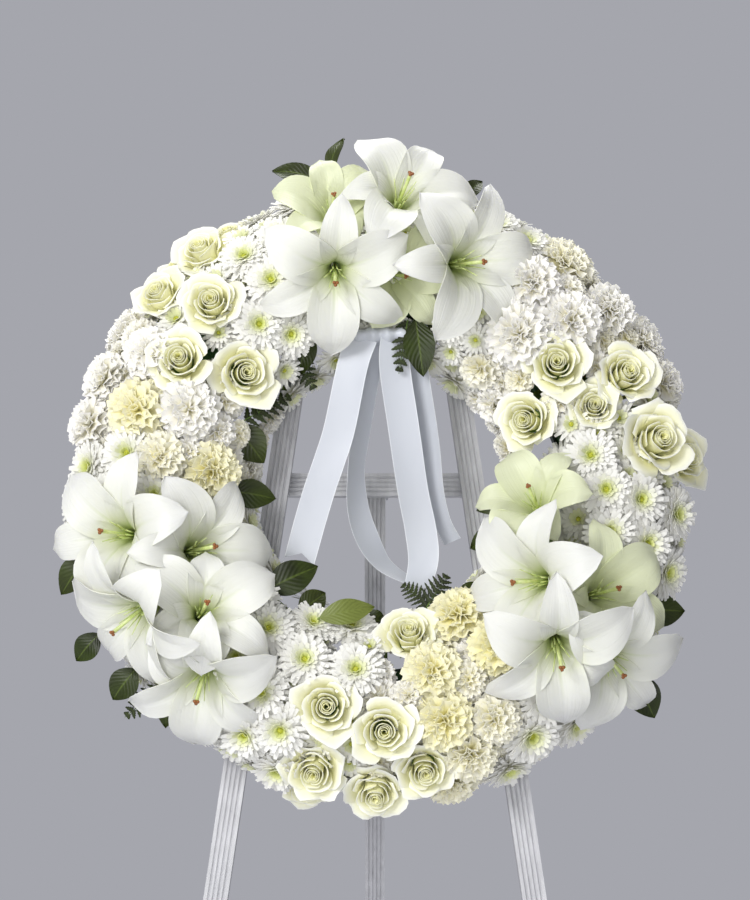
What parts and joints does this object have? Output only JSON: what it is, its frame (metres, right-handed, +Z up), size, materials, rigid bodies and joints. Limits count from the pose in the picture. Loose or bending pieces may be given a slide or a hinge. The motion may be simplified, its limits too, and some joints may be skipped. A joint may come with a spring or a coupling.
{
  "type": "funeral wreath on a folding easel",
  "caption": "Round funeral wreath of lilies, roses, carnations and chrysanthemums with hanging ribbon tails, leaning on a folding wooden easel with a hinged rear leg.",
  "frame": {"origin": "on the floor under the middle of the whole object", "axes": "+Z up, -Y towards the viewer of the wreath's face, +X to the viewer's right"},
  "size_m": [0.6534, 0.7056, 1.2805],
  "materials": {
    "painted_wood": "white painted wood, satin",
    "steel": "plain zinc-plated steel",
    "tray_plastic": "dark green moulded plastic",
    "floral_foam": "wet green floral foam",
    "satin_ribbon": "white satin ribbon",
    "leaf": "dark green glossy leaves",
    "lily_petal": "white lily petals with green throats",
    "rose_petal": "ivory rose petals",
    "carnation_petal": "white to cream ruffled petals",
    "mum_petal": "white chrysanthemum petals"
  },
  "bodies": {
    "wreath_and_frame": {"front_leg_left": "painted_wood", "front_leg_right": "painted_wood", "crossbar": "painted_wood", "top_bar": "painted_wood", "hinge_bracket": "steel", "hinge_pin": "steel", "ring_tray": "tray_plastic", "hanging_hook": "steel", "hanging_loop": "steel", "ribbon_tail_front_left": "satin_ribbon", "ribbon_tail_back_left": "satin_ribbon", "ribbon_tail_front_right": "satin_ribbon", "ribbon_tail_back_right": "satin_ribbon", "ribbon_knot": "satin_ribbon", "greens_top_left": "leaf", "greens_top": "leaf", "greens_top_inside": "leaf", "greens_upper_left_inside": "leaf", "greens_left_inside": "leaf", "greens_left": "leaf", "greens_bottom_left_inside": "leaf", "greens_bottom_right_inside": "leaf", "greens_right_inside": "leaf", "greens_right": "leaf", "lilies_top": "lily_petal", "lilies_left": "lily_petal", "lilies_right": "lily_petal", "rose_upper_left_1": "rose_petal", "rose_upper_left_2": "rose_petal", "rose_upper_left_3": "rose_petal", "rose_upper_left_4": "rose_petal", "rose_upper_left_5": "rose_petal", "rose_upper_left_6": "rose_petal", "rose_upper_left_7": "rose_petal", "rose_right_1": "rose_petal", "rose_right_2": "rose_petal", "rose_right_3": "rose_petal", "rose_right_4": "rose_petal", "rose_right_5": "rose_petal", "rose_right_6": "rose_petal", "rose_bottom_1": "rose_petal", "rose_bottom_2": "rose_petal", "rose_bottom_3": "rose_petal", "rose_bottom_4": "rose_petal", "rose_bottom_5": "rose_petal", "rose_bottom_6": "rose_petal", "rose_bottom_7": "rose_petal", "mums_top": "mum_petal", "mums_upper_right": "mum_petal", "carnations_right": "carnation_petal", "mums_right": "mum_petal", "mums_lower_right": "mum_petal", "carnations_bottom": "carnation_petal", "mums_bottom": "mum_petal", "mums_lower_left": "mum_petal", "carnations_left": "carnation_petal", "mums_upper_left": "mum_petal", "foam_ring": "floral_foam"},
    "rear_leg": {"rear_leg": "painted_wood"}
  },
  "joints": [
    {"name": "rear_leg_fold", "type": "hinge", "parent": "wreath_and_frame", "child": "rear_leg", "pos_m": [0.00109, -0.08065, 0.91052], "axis": [-1, 0, 0], "range_deg": [0, 36]}
  ]
}
